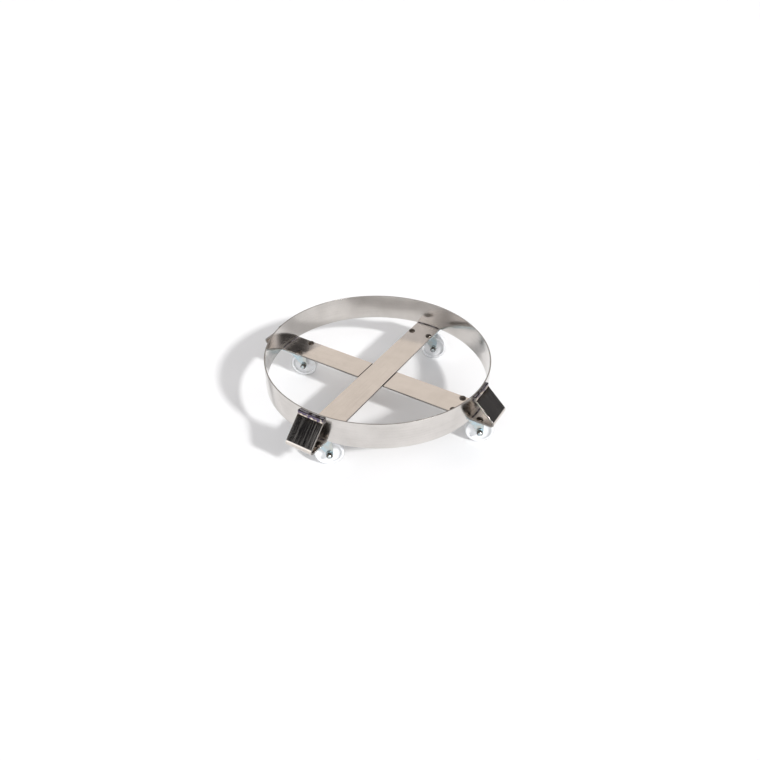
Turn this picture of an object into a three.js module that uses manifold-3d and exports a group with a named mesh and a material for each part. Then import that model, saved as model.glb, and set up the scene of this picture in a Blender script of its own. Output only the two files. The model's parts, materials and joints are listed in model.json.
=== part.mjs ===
// Drum dolly: a rolled flat-bar ring on a cross of flat bars. Each arm of the cross runs out under
// the ring, folds back at its tip and climbs to the ring's wall as a bumper loop, and each arm
// carries a plate caster that swivels and rolls.
//
// Units are millimetres and +Z is up. The origin is on the ring's axis, on the floor. The through
// bar lies along Y and the two half bars lie along X.

import * as THREE from 'three';
import { mergeVertices } from 'three/addons/utils/BufferGeometryUtils.js';
import Module from 'manifold-3d';

const wasm = await Module();
wasm.setup();

// ---- driving dimensions -------------------------------------------------------------------

const INCH = 25.4;
const GAP = 0.3; // between solids that touch on the real object

const RING_INNER_RADIUS = 305; // a 24 in ring round a 55 gallon drum
const RING_WALL = 3;
const RING_HEIGHT = 3 * INCH;
const RING_SEGMENTS = 80;

const BAR_WIDTH = 3 * INCH;
const BAR_THICKNESS = 4.8;
const LOOP_SLOPE = THREE.MathUtils.degToRad(43); // the folded-back plate, from the floor plane
const LOOP_BEND_RADIUS = 8; // to the middle of the plate
const LOOP_CORNER_BELOW_RIM = 16; // where the sloped plate meets the upright lip
const LIP_BELOW_RIM = 6;

const CASTER_HEIGHT = 3.75 * INCH; // floor to the underside of the bar
const CASTER_CIRCLE_RADIUS = 288; // swivel axes, from the ring's axis
const CASTER_TRAIL = 27.5;
const SWIVEL_AT_REST = { right: 28, rear: 22, left: 23, front: 36 }; // degrees from +X

const WHEEL_RADIUS = 1.5 * INCH;
const WHEEL_WIDTH = 1.25 * INCH;
const WHEEL_SEGMENTS = 28;

const SEAT_REACH = 230; // the bars are clear of bolts and welds out to here, where a drum's foot rests

const PLATE_LENGTH = 98; // along the arm
const PLATE_WIDTH = 76;
const PLATE_THICKNESS = 3;
const BOLT_SPACING_ALONG = 3 * INCH;
const BOLT_SPACING_ACROSS = 2.25 * INCH;
const BOLT_HOLE_RADIUS = 4.5;

const FORK_GAUGE = 2.5;
const FORK_INSIDE_WIDTH = 35;
const AXLE_RADIUS = 4.76; // 3/8 in
const AXLE_CLEARANCE = 0.35;
const SLEEVE_RADIUS = 6.4;
const WHEEL_BORE_RADIUS = 6.8;

// ---- levels and sizes that follow from them -------------------------------------------------

const BAR_UNDERSIDE = CASTER_HEIGHT;
const BAR_TOP = BAR_UNDERSIDE + BAR_THICKNESS;
const BAR_MIDDLE = BAR_UNDERSIDE + BAR_THICKNESS / 2;
const RING_BOTTOM = BAR_TOP + GAP;
const RING_TOP = RING_BOTTOM + RING_HEIGHT;
const RING_OUTER_RADIUS = RING_INNER_RADIUS + RING_WALL;

const PLATE_TOP = BAR_UNDERSIDE - GAP;
const PLATE_UNDERSIDE = PLATE_TOP - PLATE_THICKNESS;
const CROWN_TOP = 86;
const CROWN_UNDERSIDE = CROWN_TOP - 3;
const KINGPIN_RADIUS = 6;
const KINGPIN_CLEARANCE = 0.5;
const KINGPIN_HEAD_HEIGHT = 2.7;
const KINGPIN_HEAD_TOP = 78.3;
const AXLE_HEIGHT = WHEEL_RADIUS;
const FORK_HALF_WIDTH = FORK_INSIDE_WIDTH / 2 + FORK_GAUGE;
const RACE_SEGMENTS = 20;

// ---- finishes ---------------------------------------------------------------------------------

const stainless = { color: 0xcac6be, roughness: 0.32, metalness: 1 };
const zincPlate = { color: 0xb6c4c9, roughness: 0.3, metalness: 1 };
const bearingSteel = { color: 0x9a9c9e, roughness: 0.25, metalness: 1 };
const whiteNylon = { color: 0xf1f1ee, roughness: 0.42, metalness: 0 };

// ---- geometry helpers -------------------------------------------------------------------------

/** A closed BufferGeometry as a solid that can be cut and joined. */
function solidOf(geometry) {
  const bare = geometry.clone();
  bare.deleteAttribute('normal');
  bare.deleteAttribute('uv');
  const merged = mergeVertices(bare, 1e-4);
  return new wasm.Manifold(new wasm.Mesh({
    numProp: 3,
    vertProperties: new Float32Array(merged.attributes.position.array),
    triVerts: new Uint32Array(merged.index.array),
  }));
}

/** The solid's surface as a BufferGeometry. */
function geometryOf(solid) {
  const mesh = solid.getMesh();
  const geometry = new THREE.BufferGeometry();
  geometry.setAttribute('position', new THREE.BufferAttribute(new Float32Array(mesh.vertProperties), 3));
  geometry.setIndex(new THREE.BufferAttribute(new Uint32Array(mesh.triVerts), 1));
  geometry.computeVertexNormals();
  return geometry;
}

/** A surface's triangles, as three corners each, but none on a plane Y = y, for each y in planes. */
function trianglesOff(geometry, planes) {
  const flat = geometry.index ? geometry.toNonIndexed() : geometry;
  const position = flat.attributes.position;
  const triangles = [];
  for (let i = 0; i < position.count; i += 3) {
    const corners = [0, 1, 2].map((k) => new THREE.Vector3().fromBufferAttribute(position, i + k));
    const onPlane = planes.some((y) => corners.every((corner) => Math.abs(corner.y - y) < 1e-3));
    if (!onPlane) triangles.push(corners);
  }
  return triangles;
}

/** One closed surface from open surfaces that meet corner to corner. */
function joined(triangles) {
  const positions = triangles.flatMap((corners) => corners.flatMap((corner) => corner.toArray()));
  const geometry = new THREE.BufferGeometry();
  geometry.setAttribute('position', new THREE.BufferAttribute(new Float32Array(positions), 3));
  geometry.computeVertexNormals();
  return geometry;
}

/** A Shape through points, with round holes given as [x, y, radius]. */
function outline(points, holes = [], holeSegments = 12) {
  const shape = new THREE.Shape(points.map(([x, y]) => new THREE.Vector2(x, y)));
  for (const [x, y, radius] of holes) {
    const rim = circlePoints(x, y, radius, holeSegments).map(([a, b]) => new THREE.Vector2(a, b));
    shape.holes.push(new THREE.Path(rim));
  }
  return shape;
}

function circlePoints(x, y, radius, segments, start = 0) {
  return Array.from({ length: segments }, (_, i) => {
    const angle = start + (i / segments) * 2 * Math.PI;
    return [x + radius * Math.cos(angle), y + radius * Math.sin(angle)];
  });
}

/** A run of points on an arc, from one angle to the other, both included. */
function arcPoints(x, y, radius, from, to, steps) {
  return Array.from({ length: steps + 1 }, (_, i) => {
    const angle = from + ((to - from) * i) / steps;
    return [x + radius * Math.cos(angle), y + radius * Math.sin(angle)];
  });
}

/** A prism on the XY plane, from one height to another. */
function prismUp(shape, low, high) {
  const geometry = new THREE.ExtrudeGeometry(shape, { depth: high - low, bevelEnabled: false });
  return geometry.translate(0, 0, low);
}

/** A prism across X of an outline drawn in the YZ plane, centred on X = 0. */
function prismAcrossX(shape, width) {
  const turn = new THREE.Matrix4().makeBasis(
    new THREE.Vector3(0, 1, 0), new THREE.Vector3(0, 0, 1), new THREE.Vector3(1, 0, 0));
  return new THREE.ExtrudeGeometry(shape, { depth: width, bevelEnabled: false })
    .translate(0, 0, -width / 2).applyMatrix4(turn);
}

/** A prism across Y of an outline drawn in the XZ plane, from one Y to another. */
function prismAcrossY(shape, low, high) {
  const turn = new THREE.Matrix4().makeBasis(
    new THREE.Vector3(1, 0, 0), new THREE.Vector3(0, 0, 1), new THREE.Vector3(0, -1, 0));
  return new THREE.ExtrudeGeometry(shape, { depth: high - low, bevelEnabled: false })
    .translate(0, 0, -high).applyMatrix4(turn);
}

/** A turned piece about Z. The profile is [radius, height] pairs, and a ring's profile closes on itself. */
function turned(profile, segments) {
  const points = profile.map(([r, z]) => new THREE.Vector2(r, z));
  return new THREE.LatheGeometry(points, segments).rotateX(Math.PI / 2);
}

/** The corners of a closed ring's section, anticlockwise in radius and height, with the first repeated. */
function ringSection(inner, outer, low, high, chamfer = 0) {
  const section = chamfer === 0
    ? [[outer, low], [outer, high], [inner, high], [inner, low]]
    : [
      [outer - chamfer, low], [outer, low + chamfer], [outer, high - chamfer], [outer - chamfer, high],
      [inner + chamfer, high], [inner, high - chamfer], [inner, low + chamfer], [inner + chamfer, low],
    ];
  return [...section, section[0]];
}

function hexPoints(acrossFlats) {
  return circlePoints(0, 0, acrossFlats / Math.sqrt(3), 6, Math.PI / 6);
}

const group = new THREE.Group();

function addMesh(parent, name, geometry, finish) {
  const mesh = new THREE.Mesh(geometry, new THREE.MeshStandardMaterial(finish));
  mesh.name = name;
  parent.add(mesh);
  return mesh;
}

// ---- ring -------------------------------------------------------------------------------------

addMesh(group, 'ring_band',
  turned(ringSection(RING_INNER_RADIUS, RING_OUTER_RADIUS, RING_BOTTOM, RING_TOP), RING_SEGMENTS), stainless);

// ---- cross bars with their bumper loops ---------------------------------------------------------

/**
 * The middle line of one arm in (distance from the axis, height), from its tip's bend outwards:
 * along the bar, round the tip, up the slope, round to upright and up the lip.
 */
function armMiddleLine(start) {
  const lipDistance = RING_OUTER_RADIUS + GAP + BAR_THICKNESS / 2;
  const cornerHeight = RING_TOP - LOOP_CORNER_BELOW_RIM;
  const tip = lipDistance + (cornerHeight - BAR_MIDDLE) / Math.tan(LOOP_SLOPE);
  const quarter = Math.PI / 2;

  const tipTangent = LOOP_BEND_RADIUS / Math.tan(LOOP_SLOPE / 2);
  const tipArc = arcPoints(tip - tipTangent, BAR_MIDDLE + LOOP_BEND_RADIUS, LOOP_BEND_RADIUS,
    -quarter, quarter - LOOP_SLOPE, 8);

  const lipTurn = quarter - LOOP_SLOPE;
  const lipTangent = LOOP_BEND_RADIUS * Math.tan(lipTurn / 2);
  const lipArc = arcPoints(lipDistance + LOOP_BEND_RADIUS, cornerHeight + lipTangent, LOOP_BEND_RADIUS,
    -quarter - LOOP_SLOPE, -2 * quarter, 4);

  return [[start, BAR_MIDDLE], ...tipArc, ...lipArc, [lipDistance, RING_TOP - LIP_BELOW_RIM]];
}

/** The closed outline of a strip of the bar's thickness along a middle line. */
function stripOutline(line) {
  const points = line.map(([x, y]) => new THREE.Vector2(x, y));
  const sides = [[], []];
  points.forEach((point, i) => {
    const before = i > 0 ? point.clone().sub(points[i - 1]).normalize() : null;
    const after = i < points.length - 1 ? points[i + 1].clone().sub(point).normalize() : null;
    const along = (before ?? after).clone().add(after ?? before).normalize();
    const stretch = 1 / along.dot(after ?? before);
    const across = new THREE.Vector2(-along.y, along.x).multiplyScalar((BAR_THICKNESS / 2) * stretch);
    sides[0].push(point.clone().sub(across).toArray());
    sides[1].push(point.clone().add(across).toArray());
  });
  return outline([...sides[0], ...sides[1].reverse()]);
}

/** Drills that pass through the bar at each caster bolt of the arm that points along +Y. */
function armDrills() {
  const drills = [];
  for (const along of [-0.5, 0.5]) {
    for (const across of [-0.5, 0.5]) {
      const x = across * BOLT_SPACING_ACROSS;
      const y = CASTER_CIRCLE_RADIUS + along * BOLT_SPACING_ALONG;
      const rim = outline(circlePoints(x, y, BOLT_HOLE_RADIUS, 12));
      drills.push(solidOf(prismUp(rim, BAR_UNDERSIDE - 1, BAR_TOP + 1)));
    }
  }
  return drills;
}

/** One drilled arm along +Y from the end of the drum's seat, open where it meets the seat. */
function armSurface() {
  const strip = solidOf(prismAcrossX(stripOutline(armMiddleLine(SEAT_REACH)), BAR_WIDTH));
  const drilled = armDrills().reduce((left, drill) => left.subtract(drill), strip);
  return trianglesOff(geometryOf(drilled), [SEAT_REACH]);
}

/** The plain stretch of bar under a drum's foot, with faces of its own and open where arms meet it. */
function seatSurface(low, high, openEnds) {
  const block = new THREE.BoxGeometry(BAR_WIDTH, high - low, BAR_THICKNESS)
    .translate(0, (low + high) / 2, BAR_MIDDLE);
  return trianglesOff(block, openEnds);
}

const armTriangles = armSurface();
const oppositeArm = armTriangles.map((corners) => corners.map(({ x, y, z }) => new THREE.Vector3(-x, -y, z)));
const throughSeat = seatSurface(-SEAT_REACH, SEAT_REACH, [-SEAT_REACH, SEAT_REACH]);
addMesh(group, 'cross_bar_through', joined([...throughSeat, ...armTriangles, ...oppositeArm]), stainless);

for (const [side, turn] of [['right', -Math.PI / 2], ['left', Math.PI / 2]]) {
  const halfBar = joined([...seatSurface(BAR_WIDTH / 2 + GAP, SEAT_REACH, [SEAT_REACH]), ...armTriangles]);
  addMesh(group, `cross_bar_${side}`, halfBar, stainless).rotation.z = turn;
}

// ---- caster pieces, with the swivel axis on Z and the wheel trailing towards +X -----------------------

function topPlate() {
  const corner = 6;
  const x = PLATE_LENGTH / 2 - corner;
  const y = PLATE_WIDTH / 2 - corner;
  const quarter = Math.PI / 2;
  const edge = [[x, y], [-x, y], [-x, -y], [x, -y]].flatMap(([cx, cy], i) =>
    arcPoints(cx, cy, corner, i * quarter, (i + 1) * quarter, 2));
  const holes = [-0.5, 0.5].flatMap((along) => [-0.5, 0.5].map((across) =>
    [along * BOLT_SPACING_ALONG, across * BOLT_SPACING_ACROSS, BOLT_HOLE_RADIUS]));
  holes.push([0, 0, KINGPIN_RADIUS + KINGPIN_CLEARANCE]);
  return prismUp(outline(edge, holes), PLATE_UNDERSIDE, PLATE_TOP);
}

function kingpin() {
  const headRadius = 9.5;
  const headBottom = KINGPIN_HEAD_TOP - KINGPIN_HEAD_HEIGHT;
  return turned([
    [0, headBottom], [headRadius - 1.5, headBottom], [headRadius, headBottom + 1.2],
    [headRadius, KINGPIN_HEAD_TOP], [KINGPIN_RADIUS, KINGPIN_HEAD_TOP],
    [KINGPIN_RADIUS, PLATE_TOP - GAP], [0, PLATE_TOP - GAP],
  ], RACE_SEGMENTS);
}

function ballRace() {
  return turned(ringSection(13, 19, CROWN_TOP + GAP, PLATE_UNDERSIDE - GAP, 1.6), RACE_SEGMENTS);
}

function raceCup() {
  const outerRadius = 15.5;
  return turned(ringSection(KINGPIN_RADIUS + KINGPIN_CLEARANCE, outerRadius,
    KINGPIN_HEAD_TOP + GAP, CROWN_UNDERSIDE - GAP), RACE_SEGMENTS);
}

/** A pressed channel over the wheel: its bent section, its side outline and its top outline, intersected. */
function fork() {
  const outerBend = 4;
  const innerBend = 1.5;
  const quarter = Math.PI / 2;
  const inside = FORK_INSIDE_WIDTH / 2;
  const low = 20;
  const section = [
    [-FORK_HALF_WIDTH, low], [-inside, low],
    ...arcPoints(-inside + innerBend, CROWN_UNDERSIDE - innerBend, innerBend, 2 * quarter, quarter, 2),
    ...arcPoints(inside - innerBend, CROWN_UNDERSIDE - innerBend, innerBend, quarter, 0, 2),
    [inside, low], [FORK_HALF_WIDTH, low],
    ...arcPoints(FORK_HALF_WIDTH - outerBend, CROWN_TOP - outerBend, outerBend, 0, quarter, 4),
    ...arcPoints(-FORK_HALF_WIDTH + outerBend, CROWN_TOP - outerBend, outerBend, quarter, 2 * quarter, 4),
  ];
  const channel = solidOf(prismAcrossX(outline(section), 120));

  const bossRadius = 9.5;
  const legFront = [-6, 76];
  const reach = Math.hypot(CASTER_TRAIL - legFront[0], AXLE_HEIGHT - legFront[1]);
  const toFront = Math.atan2(legFront[1] - AXLE_HEIGHT, legFront[0] - CASTER_TRAIL);
  const tangent = toFront + Math.acos(bossRadius / reach);
  const side = [
    [-20, CROWN_TOP + 1], [-20, 82], [-9, 80.5], legFront,
    ...arcPoints(CASTER_TRAIL, AXLE_HEIGHT, bossRadius, tangent, 4 * quarter, 9),
    [CASTER_TRAIL + bossRadius, 72], [32, 80.5], [30, CROWN_TOP + 1],
  ];
  const silhouette = solidOf(prismAcrossY(outline(side), -30, 30));

  const nose = arcPoints(0, 0, FORK_HALF_WIDTH, quarter, 3 * quarter, 10);
  const top = solidOf(prismUp(outline([...nose, [50, -FORK_HALF_WIDTH], [50, FORK_HALF_WIDTH]]), 0, 120));
  const kingpinRim = circlePoints(0, 0, KINGPIN_RADIUS + KINGPIN_CLEARANCE, 16);
  const kingpinHole = solidOf(prismUp(outline(kingpinRim), 80, 90));
  const axleHoles = solidOf(prismAcrossY(
    outline(circlePoints(CASTER_TRAIL, AXLE_HEIGHT, AXLE_RADIUS + AXLE_CLEARANCE, 14)), -30, 30));
  return geometryOf(channel.intersect(silhouette).intersect(top).subtract(kingpinHole).subtract(axleHoles));
}

const NUT_FLATS = 14.3; // 9/16 in across flats
const NUT_HEIGHT = 8;
const HEAD_HEIGHT = 6;
const BOLT_END = FORK_HALF_WIDTH + GAP + NUT_HEIGHT + 3.5;

/** The axle bolt lies across Y, with its head on the +Y side. */
function axleBolt() {
  const seat = FORK_HALF_WIDTH + GAP;
  const head = prismUp(outline(hexPoints(NUT_FLATS)), seat, seat + HEAD_HEIGHT);
  const shank = turned([
    [0, -BOLT_END], [AXLE_RADIUS - 1, -BOLT_END], [AXLE_RADIUS, -BOLT_END + 1],
    [AXLE_RADIUS, seat + 1], [0, seat + 1],
  ], 14);
  return geometryOf(solidOf(head).add(solidOf(shank)));
}

function axleNut() {
  const far = -(FORK_HALF_WIDTH + GAP);
  const hole = [0, 0, AXLE_RADIUS + AXLE_CLEARANCE];
  return prismUp(outline(hexPoints(NUT_FLATS), [hole], 14), far - NUT_HEIGHT, far);
}

function axleSleeve() {
  const half = FORK_INSIDE_WIDTH / 2 - GAP;
  return turned(ringSection(AXLE_RADIUS + AXLE_CLEARANCE, SLEEVE_RADIUS, -half, half), 16);
}

/** The wheel, turned about Z: a tread with rounded shoulders, a rim, a dished web and a hub. */
function wheel() {
  const half = WHEEL_WIDTH / 2;
  const shoulder = 3;
  const rimInside = WHEEL_RADIUS - 7.5;
  const dish = 5;
  const hubRadius = 12;
  const hubProud = 0.8;
  const oneSide = [
    [WHEEL_RADIUS, half - shoulder], [WHEEL_RADIUS - 0.9, half - 0.9], [WHEEL_RADIUS - shoulder, half],
    [rimInside, half], [rimInside - 1.5, half - dish], [hubRadius + 1, half - dish],
    [hubRadius, half + hubProud], [WHEEL_BORE_RADIUS, half + hubProud],
  ];
  const otherSide = oneSide.map(([r, z]) => [r, -z]).reverse();
  return turned([...oneSide, ...otherSide, oneSide[0]], WHEEL_SEGMENTS);
}

/** A domed carriage bolt down through the bar and the plate, with its nut run up tight. */
function plateBolt() {
  const headBottom = BAR_TOP + GAP;
  const headHeight = 4.4;
  const headRadius = 9;
  const shankRadius = 3.97;
  const nutTop = PLATE_UNDERSIDE - GAP;
  const nutHeight = 6.8;
  const shankEnd = nutTop - nutHeight - 1.5;
  const dome = arcPoints(0, 0, 1, 0.2, Math.PI / 2, 3)
    .map(([x, y]) => [headRadius * x, headBottom + headHeight * y]);
  dome[dome.length - 1][0] = 0;
  const stud = turned([
    [0, shankEnd], [shankRadius, shankEnd], [shankRadius, headBottom], [headRadius, headBottom], ...dome,
  ], 12);
  const nut = prismUp(outline(hexPoints(12.7)), nutTop - nutHeight, nutTop);
  return geometryOf(solidOf(stud).add(solidOf(nut)));
}

// ---- four casters -------------------------------------------------------------------------------

const ARM_ANGLE = { right: 0, rear: 90, left: 180, front: 270 };

for (const [arm, degrees] of Object.entries(ARM_ANGLE)) {
  const armAngle = THREE.MathUtils.degToRad(degrees);
  const mountGroup = new THREE.Group();
  mountGroup.position.set(
    CASTER_CIRCLE_RADIUS * Math.cos(armAngle), CASTER_CIRCLE_RADIUS * Math.sin(armAngle), 0);
  group.add(mountGroup);

  const fixed = new THREE.Group();
  fixed.rotation.z = armAngle;
  mountGroup.add(fixed);
  addMesh(fixed, `caster_${arm}_top_plate`, topPlate(), zincPlate);
  addMesh(fixed, `caster_${arm}_kingpin`, kingpin(), zincPlate);
  addMesh(fixed, `caster_${arm}_ball_race`, ballRace(), bearingSteel);
  addMesh(fixed, `caster_${arm}_race_cup`, raceCup(), zincPlate);
  let number = 0;
  for (const along of [-0.5, 0.5]) {
    for (const across of [-0.5, 0.5]) {
      number += 1;
      const bolt = addMesh(fixed, `caster_${arm}_bolt_${number}`, plateBolt(), zincPlate);
      bolt.position.set(along * BOLT_SPACING_ALONG, across * BOLT_SPACING_ACROSS, 0);
    }
  }

  const swivel = new THREE.Group();
  swivel.rotation.z = THREE.MathUtils.degToRad(SWIVEL_AT_REST[arm]);
  mountGroup.add(swivel);
  addMesh(swivel, `caster_${arm}_fork`, fork(), zincPlate);
  const axle = new THREE.Group();
  axle.position.set(CASTER_TRAIL, 0, AXLE_HEIGHT);
  axle.rotation.x = -Math.PI / 2;
  swivel.add(axle);
  addMesh(axle, `caster_${arm}_axle_bolt`, axleBolt(), zincPlate);
  addMesh(axle, `caster_${arm}_axle_nut`, axleNut(), zincPlate);
  addMesh(axle, `caster_${arm}_axle_sleeve`, axleSleeve(), bearingSteel);
  addMesh(axle, `caster_${arm}_wheel`, wheel(), whiteNylon);
}

export default group;
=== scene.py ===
"""Drum dolly: a rolled stainless ring on a cross of flat bars, with folded bumper loops and plate casters.

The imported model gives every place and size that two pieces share. This script builds the finished
surfaces round it, dresses them, and sets up a plain studio. Lengths are metres.
"""

import json
import logging
import math
from dataclasses import dataclass
from enum import Enum

import bmesh
import bpy
import numpy as np
from mathutils import Matrix, Vector


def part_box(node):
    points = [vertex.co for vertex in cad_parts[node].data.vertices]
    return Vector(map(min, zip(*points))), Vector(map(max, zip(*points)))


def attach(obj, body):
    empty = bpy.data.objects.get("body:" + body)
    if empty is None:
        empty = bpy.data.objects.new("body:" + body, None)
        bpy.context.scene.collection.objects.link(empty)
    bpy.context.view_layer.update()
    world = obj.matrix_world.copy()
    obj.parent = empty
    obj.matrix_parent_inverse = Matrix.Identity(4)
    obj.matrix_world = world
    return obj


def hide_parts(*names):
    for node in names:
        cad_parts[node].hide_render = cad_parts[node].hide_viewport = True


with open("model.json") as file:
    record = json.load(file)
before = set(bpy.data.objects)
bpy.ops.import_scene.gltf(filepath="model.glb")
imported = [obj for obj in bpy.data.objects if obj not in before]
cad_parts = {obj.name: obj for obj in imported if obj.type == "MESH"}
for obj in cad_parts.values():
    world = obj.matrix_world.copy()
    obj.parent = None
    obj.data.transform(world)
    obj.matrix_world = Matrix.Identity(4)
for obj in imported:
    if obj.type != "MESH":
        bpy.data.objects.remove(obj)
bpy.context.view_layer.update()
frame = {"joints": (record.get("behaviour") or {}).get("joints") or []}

MM = 0.001
TAU = 2 * math.pi
LOG = logging.getLogger("drum_dolly")


class Arm(Enum):
    """The four arms of the cross, by the angle each points at, in degrees from +X."""

    RIGHT = 0
    REAR = 90
    LEFT = 180
    FRONT = 270

    @property
    def label(self) -> str:
        """The arm's word in node and body names."""
        return self.name.lower()

    @property
    def angle(self) -> float:
        """The arm's angle in radians."""
        return math.radians(self.value)


# ---- colour and nodes -------------------------------------------------------------------------


def linear(hex_colour: str) -> tuple[float, float, float, float]:
    """Turns an sRGB hex colour to linear light.

    Args:
        hex_colour: six hex digits, such as "c8c4bb".

    Returns:
        Red, green, blue and an alpha of one.
    """
    srgb = [int(hex_colour[i : i + 2], 16) / 255 for i in (0, 2, 4)]
    red, green, blue = (c / 12.92 if c <= 0.04045 else ((c + 0.055) / 1.055) ** 2.4 for c in srgb)
    return red, green, blue, 1.0


def add_node(tree: bpy.types.NodeTree, kind: str, settings: dict | None = None,
             links: dict | None = None) -> bpy.types.Node:
    """Adds a node with its settings and its incoming links.

    Args:
        tree: the node tree that takes the node.
        kind: the node's type name, without the "ShaderNode" that starts it.
        settings: attribute or input name to value. An attribute wins over an input of that name.
        links: input name or number to what feeds it: a socket, or a node for its first output.

    Returns:
        The new node.
    """
    node = tree.nodes.new(f"ShaderNode{kind}")
    for name, value in (settings or {}).items():
        if isinstance(name, str) and hasattr(node, name):
            setattr(node, name, value)
        else:
            node.inputs[name].default_value = value
    for name, source in (links or {}).items():
        socket = source if isinstance(source, bpy.types.NodeSocket) else source.outputs[0]
        tree.links.new(socket, node.inputs[name])
    return node


def new_material(name: str) -> tuple[bpy.types.Material, bpy.types.NodeTree]:
    """An empty node material.

    Args:
        name: the finish's name.

    Returns:
        The material and its node tree, with every node removed.
    """
    material = bpy.data.materials.new(name)
    material.use_nodes = True
    material.node_tree.nodes.clear()
    return material, material.node_tree


# ---- finishes -----------------------------------------------------------------------------------


@dataclass(frozen=True)
class Finish:
    """A built material, and the slot of the record that it stands for."""

    material: bpy.types.Material
    slot: str


@dataclass(frozen=True)
class SatinStainless:
    """Stainless strip, 2B mill finish with the fine grain of rolling along its length.

    The eye sees a soft mirror: shapes near it are blurred along the grain, and long faint streaks
    break up the glints. Beside the ring's foot it is wire-brushed to a duller grey, and the lips
    carry straw and violet heat tint from their welds. The cut edges carry a darker grey, partly the
    duller sheared metal and partly painted shade. The rounded bar ends, which form the butt grooves,
    carry a near-black painted shade. The streaks are drawn about 4 mm wide, coarser than the real
    0.1 mm grain, so that they show.
    """

    name: str
    light: str = "dad6d2"
    dark: str = "cac6c2"
    # The edge tone is partly duller sheared metal and partly painted shade. The groove tone is a painted
    # shade on the bars' rounded ends, the grooves of the butt joints.
    edge: str = "8b8782"
    groove: str = "191716"
    straw: str = "ab9468"
    violet: str = "4d4668"
    roughness: tuple[float, float] = (0.11, 0.2)
    brushed_roughness: float = 0.3
    cut_roughness: float = 0.4
    streak_width: float = 4 * MM
    streak_length: float = 140 * MM
    streak_share: float = 0.55
    smudge_size: float = 60 * MM
    smudge_share: float = 0.45
    tint_size: float = 9 * MM
    tint_contrast: tuple[float, float] = (3.4, -1.05)
    bump: float = 0.05
    bump_depth: float = 0.2 * MM

    def material(self) -> bpy.types.Material:
        """Builds the node material, on the strip's own UV map, whose units are metres.

        The attributes that it reads are the marks that a strip carries: how cut, how heated and how
        brushed it is at each place. Where cut, the edges take a darker grey, partly duller sheared metal
        and partly painted shade, and the rounded bar ends a near-black painted shade. Each later tone
        lies over the ones before it.

        Returns:
            The material.
        """
        material, tree = new_material(self.name)
        uv = add_node(tree, "UVMap", {"uv_map": "strip"})
        stretch = (1 / self.streak_length, 1 / self.streak_width, 1)
        along = add_node(tree, "Mapping", {"Scale": stretch}, {"Vector": uv})
        streaks = add_node(tree, "TexNoise", {"Scale": 1.0, "Detail": 3.0, "Roughness": 0.65},
                           {"Vector": along})
        place = add_node(tree, "TexCoord").outputs["Object"]
        smudges = add_node(tree, "TexNoise", {"Scale": 1 / self.smudge_size, "Detail": 3.0,
                                              "Roughness": 0.55}, {"Vector": place})
        smudge = add_node(tree, "MapRange", {"From Min": 0.3, "From Max": 0.7, "To Max": self.smudge_share},
                          {"Value": smudges})
        wear = add_node(tree, "Math", {"operation": "MULTIPLY_ADD", 1: self.streak_share},
                        {0: streaks, 2: smudge})
        worn = add_node(tree, "MapRange", {"From Min": 0.25, "From Max": 0.75}, {"Value": wear})
        tones = {"data_type": "RGBA", 6: linear(self.light), 7: linear(self.dark)}
        colour = add_node(tree, "Mix", tones, {0: worn}).outputs[2]

        cut, heat, brushed = (add_node(tree, "Attribute", {"attribute_name": mark}).outputs["Fac"]
                              for mark in ("cut", "weld_tint", "brushed"))
        clouds = add_node(tree, "TexNoise", {"Scale": 1 / self.tint_size, "Detail": 3.0}, {"Vector": place})
        ragged = add_node(tree, "Math", {"operation": "MULTIPLY_ADD", 1: self.tint_contrast[0],
                                         2: self.tint_contrast[1]}, {0: clouds})
        burnt = add_node(tree, "Math", {"operation": "MULTIPLY"}, {0: heat, 1: ragged})
        # Heat tint first, then the cut edges' darker grey (partly duller sheared metal, partly painted
        # shade), then the near-black painted shade of the rounded bar ends.
        for mark, start, full, most, tone in (
                (burnt, 0.06, 0.3, 0.5, self.straw), (burnt, 0.25, 0.6, 0.9, self.violet),
                (cut, 0.0, 0.5, 1.0, self.edge), (cut, 0.5, 1.0, 1.0, self.groove)):
            share = add_node(tree, "MapRange", {"From Min": start, "From Max": full, "To Max": most},
                             {"Value": mark})
            over = add_node(tree, "Mix", {"data_type": "RGBA", 7: linear(tone)}, {0: share, 6: colour})
            colour = over.outputs[2]

        polish = add_node(tree, "MapRange", {"From Min": 0.35, "From Max": 0.65, "To Min": self.roughness[0],
                                             "To Max": self.roughness[1]}, {"Value": streaks})
        dulled = add_node(tree, "Math", {"operation": "MULTIPLY_ADD", 1: self.cut_roughness},
                          {0: cut, 2: polish})
        rough = add_node(tree, "Math", {"operation": "MULTIPLY_ADD", 1: self.brushed_roughness},
                         {0: brushed, 2: dulled})
        bump = add_node(tree, "Bump", {"Strength": self.bump, "Distance": self.bump_depth},
                        {"Height": streaks})
        shader = add_node(tree, "BsdfPrincipled", {"Metallic": 1.0},
                          {"Base Color": colour, "Roughness": rough, "Normal": bump})
        add_node(tree, "OutputMaterial", links={"Surface": shader})
        return material


class Polish(Enum):
    """What a mottled finish's roughness follows."""

    PATCHES = "patches"
    GRAIN = "grain"


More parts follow.
